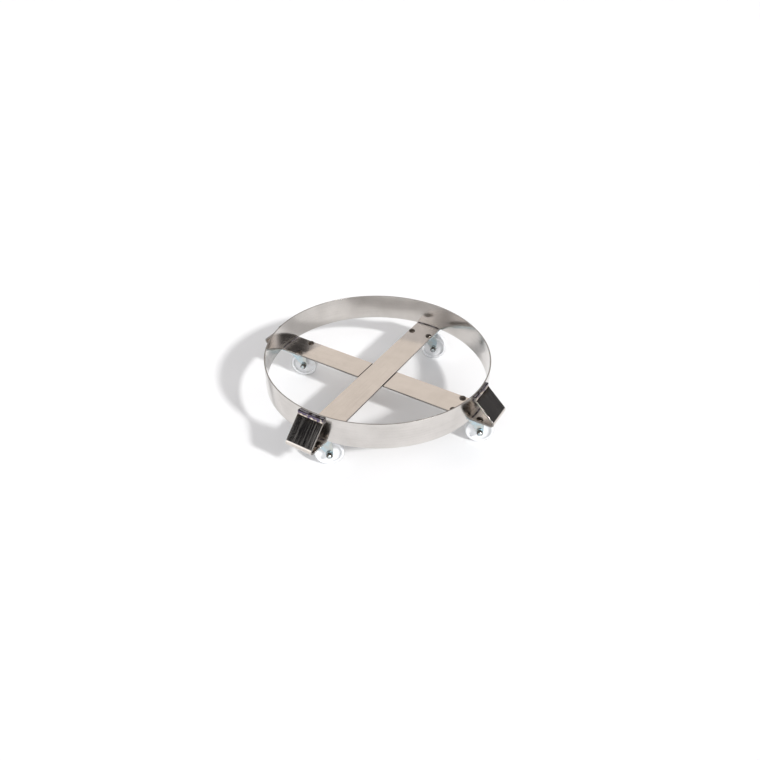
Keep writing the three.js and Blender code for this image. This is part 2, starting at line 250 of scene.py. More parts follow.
@dataclass(frozen=True)
class MottledFinish:
    """A finish whose tone drifts between two colours in soft patches, over a fine grain.

    Its metal, or what else it is, is set by the shader's own settings. What each one gives the eye
    is said where it is made.
    """

    name: str
    first: str
    second: str
    patch_size: float
    patch_spread: tuple[float, float]
    roughness: tuple[float, float]
    patch_detail: float = 4.0
    patch_share: float = 1.0
    polish: Polish = Polish.PATCHES
    polish_spread: tuple[float, float] | None = None
    grain_size: float = 1 * MM
    grain_detail: float = 2.0
    bump: float = 0.0
    bump_depth: float = 0.1 * MM
    shader: tuple[tuple[str, float | tuple[float, float, float]], ...] = (("Metallic", 1.0),)

    def material(self) -> bpy.types.Material:
        """Builds the node material on Object coordinates.

        Returns:
            The material.
        """
        material, tree = new_material(self.name)
        place = add_node(tree, "TexCoord").outputs["Object"]
        patches = add_node(tree, "TexNoise", {"Scale": 1 / self.patch_size, "Detail": self.patch_detail},
                           {"Vector": place})
        grain = patches
        if self.bump:
            grain = add_node(tree, "TexNoise", {"Scale": 1 / self.grain_size, "Detail": self.grain_detail},
                             {"Vector": place})
        low, high = self.patch_spread
        share = add_node(tree, "MapRange", {"From Min": low, "From Max": high, "To Max": self.patch_share},
                         {"Value": patches})
        tones = {"data_type": "RGBA", 6: linear(self.first), 7: linear(self.second)}
        colour = add_node(tree, "Mix", tones, {0: share}).outputs[2]
        low, high = self.polish_spread or self.patch_spread
        rough = add_node(tree, "MapRange", {"From Min": low, "From Max": high, "To Min": self.roughness[0],
                                            "To Max": self.roughness[1]},
                         {"Value": grain if self.polish is Polish.GRAIN else patches})
        links = {"Base Color": colour, "Roughness": rough}
        if self.bump:
            links["Normal"] = add_node(tree, "Bump", {"Strength": self.bump, "Distance": self.bump_depth},
                                       {"Height": grain})
        shader = add_node(tree, "BsdfPrincipled", dict(self.shader), links)
        add_node(tree, "OutputMaterial", links={"Surface": shader})
        return material


@dataclass(frozen=True)
class Finishes:
    """Every material of the dolly, built once."""

    band: Finish
    bar: Finish
    weld: Finish
    zinc: Finish
    oiled: Finish
    bearing: Finish
    nylon: Finish

    @classmethod
    def make(cls) -> "Finishes":
        """Builds the materials.

        Returns:
            The finishes.
        """
        band = SatinStainless("rolled_satin_stainless")
        bar = SatinStainless("mill_finish_stainless_bar", light="dad3cc", dark="d1cac3",
                             roughness=(0.08, 0.22))
        # A TIG bead, wire-brushed: bright ripples with violet-brown heat tint between them.
        weld = MottledFinish("tinted_tig_weld", "8d898d", "39302f", 9 * MM, (0.4, 0.62), (0.25, 0.45))
        # Barrel-plated zinc with a clear blue passivate: a cool, slightly milky mirror, in patches that
        # drift between blue and straw with the film, over the 0.9 mm orange peel of a pressed sheet.
        zinc = MottledFinish("bright_zinc_plate", "bbcdd4", "c3c6c1", 14 * MM, (0.42, 0.66), (0.12, 0.28),
                             patch_detail=2.0, polish=Polish.GRAIN, polish_spread=(0.3, 0.7),
                             grain_size=0.9 * MM, grain_detail=3.0, bump=0.12)
        # Cold-headed steel, blackened and oiled: brown-black with small sharp glints, and grey where it
        # has rubbed bright.
        oiled = MottledFinish("oiled_black_steel", "4b443e", "8d8780", 5 * MM, (0.52, 0.7), (0.3, 0.2))
        # Ground bearing steel: a dark, sharp mirror with a faint turned grain.
        bearing = MottledFinish("ground_bearing_steel", "a5a6a8", "7d7f82", 1.2 * MM, (0.35, 0.65),
                                (0.18, 0.3))
        # Injection-moulded white nylon 6: a clean milky white with a soft sheen, a fine spark-eroded
        # mould texture, and a little floor dust.
        nylon = MottledFinish("moulded_nylon", "e1e2e3", "c9c8c3", 11 * MM, (0.5, 0.75), (0.34, 0.5),
                              patch_share=0.6, polish_spread=(0.3, 0.7), grain_size=0.7 * MM, bump=0.1,
                              shader=(("IOR", 1.53), ("Subsurface Weight", 0.05), ("Subsurface Scale", 0.5),
                                      ("Subsurface Radius", (4 * MM, 4 * MM, 4 * MM))))
        slots = {"stainless": (band, bar, weld), "zinc": (zinc, oiled), "bearing_steel": (bearing,),
                 "white_nylon": (nylon,)}
        return cls(*(Finish(finish.material(), slot) for slot, group in slots.items() for finish in group))


# ---- surfaces -------------------------------------------------------------------------------------


def grid_cells(rows: int, columns: int, closed: bool) -> tuple[np.ndarray, np.ndarray, np.ndarray]:
    """The cells of a grid of points whose last column joins the first.

    Args:
        rows: of the grid.
        columns: of the grid.
        closed: the last row joins the first too.

    Returns:
        Each cell's row, its column, and the numbers of its four points.
    """
    r, c = np.meshgrid(np.arange(rows if closed else rows - 1), np.arange(columns), indexing="ij")
    r2, c2 = (r + 1) % rows, (c + 1) % columns
    quads = np.stack([r * columns + c, r * columns + c2, r2 * columns + c2, r2 * columns + c], -1)
    return r, c, quads.reshape(-1, 4)


def build_piece(name: str, points: np.ndarray, closed: bool, uv: np.ndarray | None = None,
                marks: dict[str, np.ndarray] | None = None, sharp_degrees: float = 40.0) -> bpy.types.Object:
    """A closed piece from a grid of points whose last column joins the first.

    Each cell of the grid is a quad. A grid whose rows don't wrap is closed at both ends by a flat
    cap, unless the end row has shrunk to one point, which becomes a pole.

    Args:
        name: the piece's name.
        points: rows by columns by three, in place, in metres.
        closed: the last row joins the first.
        uv: one more than rows by one more than columns where those wrap, by two, or None for no map.
        marks: name to rows by columns, the values that the finish reads at each point, or None.
        sharp_degrees: edges between faces that turn more than this stay sharp.

    Returns:
        The new object, linked to the scene.
    """
    rows, columns = points.shape[:2]
    r, c, quads = grid_cells(rows, columns, closed)
    faces = quads.tolist()
    if not closed:
        faces.append(list(range(columns))[::-1])
        faces.append(list(range((rows - 1) * columns, rows * columns)))
    mesh = bpy.data.meshes.new(name)
    mesh.from_pydata(points.reshape(-1, 3), [], faces)
    for mark, values in (marks or {}).items():
        layer = mesh.attributes.new(mark, "FLOAT", "POINT")
        layer.data.foreach_set("value", values.astype(np.float32).ravel())
    if uv is not None:
        steps_u = np.stack([r, r, r + 1, r + 1], -1).reshape(-1)
        steps_v = np.stack([c, c + 1, c + 1, c], -1).reshape(-1)
        flat = np.zeros((len(mesh.loops), 2), np.float32)
        flat[: len(steps_u)] = uv[steps_u, steps_v]
        layer = mesh.uv_layers.new(name="strip")
        layer.data.foreach_set("uv", flat.ravel())
    return link_mesh(name, mesh, sharp_degrees)


def link_mesh(name: str, mesh: bpy.types.Mesh, sharp_degrees: float = 40.0) -> bpy.types.Object:
    """Cleans a mesh, turns its faces outwards, shades it and links it as an object.

    Args:
        name: the piece's name.
        mesh: the mesh, in place.
        sharp_degrees: edges between faces that turn more than this stay sharp.

    Returns:
        The new object.
    """
    work = bmesh.new()
    work.from_mesh(mesh)
    bmesh.ops.remove_doubles(work, verts=work.verts, dist=0.002 * MM)
    bmesh.ops.recalc_face_normals(work, faces=work.faces)
    work.to_mesh(mesh)
    work.free()
    mesh.shade_smooth()
    mesh.set_sharp_from_angle(angle=math.radians(sharp_degrees))
    piece = bpy.data.objects.new(name, mesh)
    bpy.context.scene.collection.objects.link(piece)
    return piece


def dress(piece: bpy.types.Object, finish: Finish, body: str, *nodes: str) -> None:
    """Gives a piece its finish and its body, and hides the nodes that it stands for.

    Args:
        piece: the finished piece.
        finish: its material and slot.
        body: the body that it rides on.
        nodes: the nodes that it replaces.
    """
    piece.data.materials.clear()
    piece.data.materials.append(finish.material)
    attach(piece, body)
    if nodes:
        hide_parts(*nodes)
    LOG.info("%s on %s, %d faces", piece.name, body, len(piece.data.polygons))


def arc(centre: tuple[float, float], radius: float, start: float, end: float, steps: int) -> np.ndarray:
    """Points on an arc, ends included: the centre plus the radius times cosine and sine.

    Args:
        centre: the arc's centre.
        radius: its radius.
        start: the first angle, in radians.
        end: the last angle.
        steps: how many chords.

    Returns:
        steps + 1 points.
    """
    angle = np.linspace(start, end, steps + 1)
    return np.stack([centre[0] + radius * np.cos(angle), centre[1] + radius * np.sin(angle)], -1)


def rounded_section(width: float, height: float, radius: float, steps: int = 4) -> np.ndarray:
    """A rectangle's outline with round corners, anticlockwise, centred.

    Each corner is a quarter arc. A point a third of a radius from each end of an arc keeps the
    flats' shading flat.

    Args:
        width: along the first axis.
        height: along the second.
        radius: of the corners.
        steps: chords in each corner.

    Returns:
        The outline's points.
    """
    x, y, guard = width / 2 - radius, height / 2 - radius, radius / 3
    corners = []
    for quarter, centre in enumerate([(x, y), (-x, y), (-x, -y), (x, -y)]):
        start, end = quarter * TAU / 4, (quarter + 1) * TAU / 4
        bend = arc(centre, radius, start, end, steps)
        before = bend[0] - guard * np.array([-math.sin(start), math.cos(start)])
        after = bend[-1] + guard * np.array([-math.sin(end), math.cos(end)])
        corners.append(np.vstack([before, bend, after]))
    return np.vstack(corners)


def run_length(line: np.ndarray) -> np.ndarray:
    """The distance along a line at each of its points, from zero."""
    return np.concatenate([[0.0], np.cumsum(np.linalg.norm(np.diff(line, axis=0), axis=1))])


def placed(points: np.ndarray, angle: float, origin: tuple[float, float]) -> np.ndarray:
    """Turns points about Z by an angle and moves them in plan.

    Args:
        points: any array whose last axis is x, y, z.
        angle: in radians.
        origin: x and y of the new place of the old axis.

    Returns:
        The points in place.
    """
    cos, sin = math.cos(angle), math.sin(angle)
    return points @ np.array([[cos, sin, 0], [-sin, cos, 0], [0, 0, 1]]) + [*origin, 0.0]


def cylindrical(radius: np.ndarray | float, angle: np.ndarray, height: np.ndarray | float) -> np.ndarray:
    """Points about Z, the radius times cosine and sine at the height, from any arrays that fit each other."""
    return np.stack(np.broadcast_arrays(radius * np.cos(angle), radius * np.sin(angle), height), -1)


def turned(profile: np.ndarray, segments: int) -> np.ndarray:
    """A surface of revolution about Z: each profile point's radius times cosine and sine, at its height.

    Args:
        profile: points of radius and height.
        segments: columns round the axis.

    Returns:
        Rows along the profile by columns round the axis.
    """
    return cylindrical(profile[:, 0, None], np.arange(segments) * TAU / segments, profile[:, 1, None])


def rounded_line(corners: np.ndarray, radii: list[float], closed: bool, steps: int = 4) -> np.ndarray:
    """An outline whose corners are rounded.

    Each corner is replaced by an arc that is tangent to both of its sides, made as the points of a
    quadratic through the tangent points with the corner as its middle control.

    Args:
        corners: the sharp outline.
        radii: how far back from each corner its rounding starts.
        closed: the last corner joins the first.
        steps: chords in each rounding.

    Returns:
        The rounded outline's points.
    """
    count = len(corners)
    share = np.linspace(0, 1, steps + 1)[:, None]
    out = []
    for i, (corner, radius) in enumerate(zip(corners, radii)):
        if radius <= 0 or (not closed and i in (0, count - 1)):
            out.append(corner[None])
            continue
        before, after = corners[i - 1] - corner, corners[(i + 1) % count] - corner
        start = corner + before / np.linalg.norm(before) * radius
        end = corner + after / np.linalg.norm(after) * radius
        out.append(start * (1 - share) ** 2 + corner * 2 * share * (1 - share) + end * share**2)
    return np.vstack(out)


def collar(bore: float, outer: float, low: float, high: float, rounding: float, segments: int) -> np.ndarray:
    """A turned ring of square section, such as a washer or a sleeve, with rounded edges.

    Args:
        bore: the hole's radius.
        outer: the outside radius.
        low: height of the lower face.
        high: height of the upper face.
        rounding: of its edges.
        segments: columns round the axis.

    Returns:
        A grid that wraps both ways.
    """
    section = np.array([[bore, low], [outer, low], [outer, high], [bore, high]])
    return turned(rounded_line(section, [rounding] * 4, True, 2), segments)


def hex_body(across_flats: float, low: float, high: float, bore: float = 0.0,
             chamfered_low: bool = True) -> np.ndarray:
    """A hexagonal head or nut about Z, chamfered as a turned one is.

    The hexagon's radius at an angle is half the flats divided by the cosine of the turn from the
    nearest flat. At each height the radius is the smaller of the hexagon's and a cone's that starts
    just inside the flats at the end face and opens at 60 degrees from the axis.

    Args:
        across_flats: the spanner size.
        low: height of the lower face.
        high: height of the upper face.
        bore: the hole's radius, or zero for a solid head.
        chamfered_low: the lower corners are chamfered as well as the upper.

    Returns:
        Rows from the lower face's inside round to the upper face's inside, by columns.
    """
    columns = 72
    angle = np.arange(columns) * TAU / columns
    depth = 0.16 * across_flats
    zone = depth * np.array([0.0, 0.1, 0.25, 0.45, 0.7, 1.0])
    height = np.concatenate([low + zone, high - zone[::-1]])
    from_end = np.minimum(height - low, high - height) if chamfered_low else high - height
    cone = 0.47 * across_flats + from_end * math.tan(TAU / 6)
    hexagon = across_flats / 2 / np.cos(np.mod(angle, TAU / 6) - TAU / 12)
    radius = np.minimum(hexagon[None], cone[:, None])
    inner = np.full((1, columns), bore)
    radius = np.vstack([inner, radius, inner])
    height = np.concatenate([[low], height, [high]])[:, None]
    return cylindrical(radius, angle, height)


def threaded_rod(radius: float, low: float, high: float, pitch: float) -> np.ndarray:
    """A rod's threaded end about Z, from a pole at low to a pole at high.

    The radius falls by the thread's depth times how far the height, less the helix's rise at that
    angle, lies from a crest. Both ends are chamfered by the same depth.

    Args:
        radius: at the crests.
        low: height of one end.
        high: height of the other.
        pitch: from crest to crest.

    Returns:
        Rows along the rod by columns round it.
    """
    columns, depth = 32, 0.5 * pitch
    rows = max(8, int((high - low) / pitch * 8))
    angle = np.arange(columns) * TAU / columns
    height = np.linspace(low, high, rows + 1)[:, None]
    phase = np.mod(height / pitch - angle[None] / TAU, 1.0)
    crest = radius - depth * np.abs(phase * 2 - 1)
    cone = radius - depth + np.minimum(height - low, high - height)
    body = np.minimum(crest, cone)
    pole = np.zeros((1, columns))
    body = np.vstack([pole, body, pole])
    height = np.vstack([height[:1], height, height[-1:]])
    return cylindrical(body, angle, height)


def bead(path: np.ndarray, first: np.ndarray, second: np.ndarray, radius: float, ripple: float) -> np.ndarray:
    """A weld bead along a path: a round section that swells and shrinks with each ripple.

    At each step along the path the point is the path's own plus the radius times the cosine of the
    section's angle along the first direction and its sine along the second. The radius swells by a
    sixth with the ripple's rectified sine, lags across the bead so that ripples are crescents, and
    falls to nothing at both ends as a quarter ellipse.

    Args:
        path: the bead's middle line.
        first: one direction across the bead.
        second: the other, at right angles.
        radius: the bead's mean radius.
        ripple: the length of one ripple.

    Returns:
        Rows along the bead by columns round it.
    """
    run = run_length(path)
    rows = max(24, int(run[-1] / ripple * 6))
    at = np.linspace(0, run[-1], rows + 1)
    middle = np.stack([np.interp(at, run, path[:, k]) for k in range(3)], -1)
    angle = np.arange(16) * TAU / 16
    phase = at[:, None] / ripple + 0.35 * np.cos(angle)[None]
    wave = 1 + np.abs(np.sin(phase * math.pi)) / 6 - 0.1
    from_end = np.clip(np.minimum(at, run[-1] - at) / (1.6 * radius), 0, 1)
    taper = np.sqrt(1 - (1 - from_end) ** 2)[:, None]
    size = (radius * wave * taper)[..., None]
    around = np.cos(angle)[:, None] * first + np.sin(angle)[:, None] * second
    return middle[:, None] + size * around[None]


# ---- what the pieces share ----------------------------------------------------------------------


@dataclass(frozen=True)
class Plan:
    """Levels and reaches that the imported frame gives, and the stock gauges that go with them."""

    ring_radius: float
    ring_low: float
    ring_top: float
    bar_low: float
    bar_width: float
    butt: float
    ring_wall: float = 3 * MM
    bar_gauge: float = 4.8 * MM
    fit: float = 0.3 * MM

    @classmethod
    def read(cls) -> "Plan":
        """Reads the boxes of the ring and of a half bar.

        Returns:
            The plan.
        """
        ring_from, ring_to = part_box("ring_band")
        bar_from, bar_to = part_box("cross_bar_right")
        return cls(ring_radius=ring_to.x, ring_low=ring_from.z, ring_top=ring_to.z, bar_low=bar_from.z,
                   bar_width=bar_to.y - bar_from.y, butt=bar_from.x)

    @property
    def bar_middle(self) -> float:
        """Height of the middle of a bar."""
        return self.bar_low + self.bar_gauge / 2

    @property
    def bar_top(self) -> float:
        """Height of a bar's top face."""
        return self.bar_low + self.bar_gauge


# ---- the ring -------------------------------------------------------------------------------------


@dataclass(frozen=True)
class RingBand:
    """The flat bar that is rolled on its edge to a ring, and butt welded."""

    plan: Plan
    segments: int = 360
    edge_radius: float = 0.5 * MM
    unevenness: float = 0.55 * MM
    waves: tuple[tuple[float, int, float], ...] = ((0.5, 3, 0.6), (0.3, 7, 2.1), (0.2, 11, 4.0))
    seam_angle: float = math.radians(60)

    def surface(self) -> tuple[np.ndarray, np.ndarray, dict[str, np.ndarray]]:
        """The band's section carried round the axis.

        The radius wanders by the unevenness times three slow cosines of the angle, which die away
        at each arm because the bars hold the ring there.

        Returns:
            Rows round the section by columns round the ring, the strip map, and the marks: "cut" is
            a half on the cut edges, where the finish lays a darker grey that is partly duller sheared metal
            and partly painted shade.
        """
        height = self.plan.ring_top - self.plan.ring_low
        section = rounded_section(self.plan.ring_wall, height, self.edge_radius)
        angle = self.seam_angle + np.arange(self.segments) * TAU / self.segments
        wander = sum(share * np.cos(count * angle + start) for share, count, start in self.waves)
        wander = wander * self.unevenness * np.sin(2 * angle) ** 2
        radius = section[:, 0, None] + self.plan.ring_radius - self.plan.ring_wall / 2 + wander
        rise = section[:, 1, None] + (self.plan.ring_low + self.plan.ring_top) / 2
        points = cylindrical(radius, angle, rise)
        around = np.arange(self.segments + 1) * TAU / self.segments * self.plan.ring_radius
        across = run_length(np.vstack([section, section[:1]]))
        uv = np.stack(np.broadcast_arrays(around[None], across[:, None]), -1)
        # The cut mark: a darker grey on the rim edges, partly duller sheared metal and partly painted shade.
        cut = 0.5 * (np.abs(section[:, 1]) > height / 2 - 0.5 * self.edge_radius)
        return points, uv, {"cut": np.broadcast_to(cut[:, None], points.shape[:2])}

    def build(self, finishes: Finishes) -> None:
        """Builds and dresses the band.

        Args:
            finishes: the dolly's materials.
        """
        points, uv, marks = self.surface()
        band = build_piece("rolled_ring", points, True, uv, marks)
        dress(band, finishes.band, "frame", "ring_band")


# ---- the cross and its loops ------------------------------------------------------------------------


@dataclass(frozen=True)
class ArmLine:
    """The middle line of an arm in distance from the axis and height.

    It runs along the bar, round the tip, back up the slope, round to upright and up the lip.
    """

    plan: Plan
    slope: float = math.radians(43)
    bend: float = 8 * MM
    corner_below_rim: float = 16 * MM
    lip_below_rim: float = 6 * MM
    guard: float = 0.4 * MM
    tint_spread: float = 14 * MM
    brushed_spread: float = 16 * MM

    @property
    def lip(self) -> float:
        """Distance of the middle of the upright lip."""
        return self.plan.ring_radius + self.plan.fit + self.plan.bar_gauge / 2

    @property
    def lip_top(self) -> float:
        """Height of the lip's top edge."""
        return self.plan.ring_top - self.lip_below_rim

    @property
    def welded(self) -> dict[str, tuple[tuple[float, float], float]]:
        """The welds' marks: heat tint round the lip's top, and brushed metal round the ring's foot."""
        return {"weld_tint": ((self.lip, self.lip_top), self.tint_spread),
                "brushed": ((self.plan.ring_radius, self.plan.bar_middle), self.brushed_spread)}

    def points(self, start: float) -> np.ndarray:
        """The line from a start on the bar to the lip's top, with its bends as arcs.

        Args:
            start: distance from the axis.

        Returns:
            Points of distance and height. A guard point beside each bend keeps the flats flat.
        """
        quarter = TAU / 4
        corner = self.plan.ring_top - self.corner_below_rim
        tip = self.lip + (corner - self.plan.bar_middle) / math.tan(self.slope)
        tip_back = self.bend / math.tan(self.slope / 2)
        tip_middle = (tip - tip_back, self.plan.bar_middle + self.bend)
        tip_arc = arc(tip_middle, self.bend, -quarter, quarter - self.slope, 28)
        lip_rise = self.bend * math.tan((quarter - self.slope) / 2)
        lip_middle = (self.lip + self.bend, corner + lip_rise)
        lip_arc = arc(lip_middle, self.bend, -quarter - self.slope, -2 * quarter, 14)
        climb = np.array([-math.cos(self.slope), math.sin(self.slope)]) * self.guard
        foot = self.plan.ring_radius + np.linspace(-2.4, 1.8, 15) * self.brushed_spread
        foot = np.stack([foot, np.full_like(foot, self.plan.bar_middle)], -1)
        climbing = np.linspace(tip_arc[-1] + climb, lip_arc[0] - climb, 12)
        return np.vstack([
            [start, self.plan.bar_middle], foot, tip_arc[0] - [self.guard, 0], tip_arc, climbing, lip_arc,
            lip_arc[-1] + [0, self.guard], [self.lip, self.lip_top]])


def strip(line: np.ndarray, width: float, gauge: float, edge: float, ends: tuple[float, float],
          welded: dict[str, tuple[tuple[float, float], float]]
          ) -> tuple[np.ndarray, np.ndarray, dict[str, np.ndarray]]:
    """A flat bar carried along a line: distance and height along it, its width across.

    Each row is the bar's rounded section, set square to the line. Near each end the section is
    inset as a quarter round: the inset is the end's size times one less the sine of an angle, at
    one less the cosine of it from the end. A weld's mark is e to the minus square of the distance
    from it over the mark's spread.

    Args:
        line: distance and height of the bar's middle, its first and last stretch straight.
        width: of the bar.
        gauge: thickness of the bar.
        edge: radius of its long edges.
        ends: sizes of the rounding of the first and of the last end.
        welded: mark to the place of a weld, as distance and height, and the mark's spread.

    Returns:
        Rows along by columns round the section, as distance, width and height, the strip map, and
        the marks: "cut" is a half on the cut edges, for a darker grey that is partly duller sheared
        metal and partly painted shade, and one on the rounded ends, the butt grooves, for a near-black
        painted shade.
    """
    turn = np.linspace(0, TAU / 4, 5)[:-1]
    first_way = (line[1] - line[0]) / np.linalg.norm(line[1] - line[0])
    last_way = (line[-2] - line[-1]) / np.linalg.norm(line[-2] - line[-1])
    first_rows = line[0] + first_way * (ends[0] * (1 - np.cos(turn)))[:, None]
    last_rows = line[-1] + last_way * (ends[1] * (1 - np.cos(turn)))[::-1, None]
    near, far = line[0] + first_way * ends[0], line[-1] + last_way * ends[1]
    path = np.vstack([first_rows, near, line[1:-1], far, last_rows])
    drawn_in = 1 - np.sin(turn)
    inset = np.concatenate([ends[0] * drawn_in, np.zeros(len(line)), ends[1] * drawn_in[::-1]])
    way = np.gradient(path, axis=0)
    way /= np.linalg.norm(way, axis=1)[:, None]
    outline = rounded_section(width, gauge, edge)
    lateral = np.sign(outline[:, 0]) * np.maximum(np.abs(outline[:, 0])[None] - inset[:, None], 0)
    through = np.sign(outline[:, 1]) * np.maximum(np.abs(outline[:, 1])[None] - inset[:, None], 0)
    distance = path[:, 0, None] - through * way[:, 1, None]
    height = path[:, 1, None] + through * way[:, 0, None]
    points = np.stack([distance, lateral, height], -1)
    across = run_length(np.vstack([outline, outline[:1]]))
    uv = np.stack(np.broadcast_arrays(run_length(path)[:, None], across[None]), -1)
    # The cut mark: a half on the long edges, for a darker grey that is partly duller sheared metal and partly
    # painted shade, and one on the rounded ends, for a near-black painted shade.
    cut = 0.5 * (np.abs(outline[:, 0]) > width / 2 - 0.5 * edge)
    marks = {"cut": np.maximum(cut[None], np.sign(inset)[:, None])}
    for mark, (place, spread) in welded.items():
        away = np.linalg.norm(np.abs(path) - np.array(place), axis=1) / spread
        marks[mark] = np.broadcast_to(np.exp(-(away**2))[:, None], lateral.shape)
    return points, uv, marks


@dataclass(frozen=True)
class Cross:
    """The through bar and the two half bars, each folded into a bumper loop at its arms' ends."""

    plan: Plan
    line: ArmLine
    edge_radius: float = 0.5 * MM
    right_groove: float = 4.2 * MM
    left_groove: float = 2.6 * MM
    lip_round: float = 0.6 * MM

    def through_line(self) -> np.ndarray:
        """The through bar's middle line, from one lip's top to the other's."""
        arm = self.line.points(0.0)[1:]
        return np.vstack([(arm * [-1, 1])[::-1], arm])

    def build_bar(self, name: str, line: np.ndarray, first_end: float, arm: Arm, node: str,
                  finishes: Finishes) -> None:
        """Builds and dresses one bar.

        Args:
            name: the piece's name.
            line: its middle line.
            first_end: size of the rounding of its first end.
            arm: the arm that its line points along.
            node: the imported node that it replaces.
            finishes: the dolly's materials.
        """
        points, uv, marks = strip(line, self.plan.bar_width, self.plan.bar_gauge, self.edge_radius,
                                  (first_end, self.lip_round), self.line.welded)
        bar = build_piece(name, placed(points, arm.angle, (0, 0)), False, uv, marks)
        dress(bar, finishes.bar, "frame", node)

    def build(self, finishes: Finishes) -> None:
        """Builds and dresses the three bars.

        Args:
            finishes: the dolly's materials.
        """
        through, half = self.through_line(), self.line.points(self.plan.butt)
        for name, line, first_end, arm, node in (
                ("through_bar", through, self.lip_round, Arm.REAR, "cross_bar_through"),
                ("half_bar_right", half, self.right_groove, Arm.RIGHT, "cross_bar_right"),
                ("half_bar_left", half, self.left_groove, Arm.LEFT, "cross_bar_left")):
            self.build_bar(name, line, first_end, arm, node, finishes)


@dataclass(frozen=True)
class Welds:
    """The TIG beads that hold the ring, the loops and the half bars together."""

    plan: Plan
    line: ArmLine
    radius: float = 1.9 * MM
    ripple: float = 2.2 * MM
    side_length: float = 15 * MM
    lip_gap: float = 1.3 * MM
    side_gap: float = 1.2 * MM
    foot_gap: float = 0.5 * MM
    lift: tuple[float, float] = (0.2 * MM, 0.4 * MM)

    def across(self, reach: float) -> np.ndarray:
        """Places across the bar, out to a share of its width on both sides."""
        return np.linspace(-reach, reach, 41) * self.plan.bar_width

    def level_bead(self, wall: np.ndarray, across: np.ndarray, height: float, radius: float,
                   flatness: float = 1.0) -> np.ndarray:
        """A bead that lies level across the arm.

        Args:
            wall: its distance from the axis at each place across.
            across: the places.
            height: its level.
            radius: the bead's.
            flatness: the bead's height as a share of its width.

        Returns:
            A grid for the arm that points along X.
        """
        path = np.stack([wall, across, np.full_like(across, height)], -1)
        return bead(path, np.array([1.0, 0, 0]), np.array([0, 0, flatness]), radius, self.ripple)

    def lip_bead(self) -> np.ndarray:
        """The bead between a lip's top edge and the ring's wall, which curves away from it.

        Returns:
            A grid for the arm that points along X.
        """
        across = self.across(0.47)
        wall = np.sqrt(self.plan.ring_radius**2 - across**2) + self.lip_gap
        return self.level_bead(wall, across, self.line.lip_top + self.lift[0], 1.25 * self.radius)

    def side_bead(self, side: int) -> np.ndarray:
        """An upright bead down one side of a lip, in the gap between it and the ring.

        Args:
            side: one or minus one.

        Returns:
            A grid for the arm that points along X.
        """
        across = side * 0.49 * self.plan.bar_width
        wall = math.sqrt(self.plan.ring_radius**2 - across**2) + self.side_gap
        height = np.linspace(self.line.lip_top - self.side_length, self.line.lip_top, 9)
        path = np.stack([np.full(9, wall), np.full(9, across), height], -1)
        return bead(path, np.array([1.0, 0, 0]), np.array([0, 1.0, 0]), self.radius, self.ripple)

    def foot_bead(self, inside: bool) -> np.ndarray:
        """A bead between the ring's foot and the bar's top face.

        Args:
            inside: on the drum's side of the wall.

        Returns:
            A grid for the arm that points along X.
        """
        across = self.across(0.48 if inside else 0.46)
        radius = self.plan.ring_radius - (self.plan.ring_wall if inside else 0)
        wall = np.sqrt(radius**2 - across**2) - (self.foot_gap if inside else -self.foot_gap)
        return self.level_bead(wall, across, self.plan.bar_top + self.lift[1], self.radius)

    def butt_bead(self) -> np.ndarray:
        """The bead under the bars, between a half bar's end and the through bar.

        Returns:
            A grid for the arm that points along X.
        """
        across = self.across(0.48)
        wall = np.full_like(across, self.plan.butt)
        return self.level_bead(wall, across, self.plan.bar_low, 2.2 * self.radius, 0.45)

    def build(self, finishes: Finishes) -> None:
        """Builds and dresses every bead.

        Args:
            finishes: the dolly's materials.
        """
        for arm in Arm:
            grids = {
                "lip": self.lip_bead(),
                "lip_side_1": self.side_bead(1),
                "lip_side_2": self.side_bead(-1),
                "foot_outside": self.foot_bead(False),
                "foot_inside": self.foot_bead(True),
            }
            if arm in (Arm.RIGHT, Arm.LEFT):
                grids["butt"] = self.butt_bead()
            for name, grid in grids.items():
                in_place = placed(grid, arm.angle, (0, 0))
                weld = build_piece(f"weld_{arm.label}_{name}", in_place, False, sharp_degrees=60)
                dress(weld, finishes.weld, "frame")


# ---- casters --------------------------------------------------------------------------------------


@dataclass(frozen=True)
class TopPlate:
    """A caster's mounting plate, with the race that is pressed down from it."""

    low: float
    high: float
    length: float = 98 * MM
    width: float = 76 * MM
    corner: float = 6 * MM
    edge: float = 0.5 * MM

    def slab(self) -> np.ndarray:
        """The plate: its outline, drawn in by the edge's rounding at the top and the bottom.

        Returns:
            Rows up the plate by columns round it.
        """
        trim = 2 * self.edge
        outline = rounded_section(self.length, self.width, self.corner, 8)
        inner = rounded_section(self.length - trim, self.width - trim, self.corner - self.edge, 8)
        turn = np.linspace(0, TAU / 4, 4)
        inset = np.concatenate([1 - np.sin(turn), 1 - np.sin(turn[::-1])])[:, None, None]
        step = self.edge * (1 - np.cos(turn))
        rise = np.concatenate([self.low + step, self.high - step[::-1]])[:, None, None]
        plane = outline[None] * (1 - inset) + inner[None] * inset
        return np.concatenate([plane, np.broadcast_to(rise, plane.shape[:2] + (1,))], -1)

    def race(self) -> np.ndarray:
        """The upper race: a ring pressed down under the plate, rounded at its foot.

        Returns:
            Rows along its section by columns round it.
        """
        section = np.array([[12.6, 0.2], [12.6, -1.7], [15.4, -1.7], [16.2, -0.7], [17.8, -0.7],
                            [18.6, -1.7], [20.4, -1.7], [21.4, 0.2]])
        profile = rounded_line(section * MM, np.array([0, 5, 5, 4, 4, 5, 5, 0]) * 0.1 * MM, False)
        return turned(profile + [0, self.low], 64)


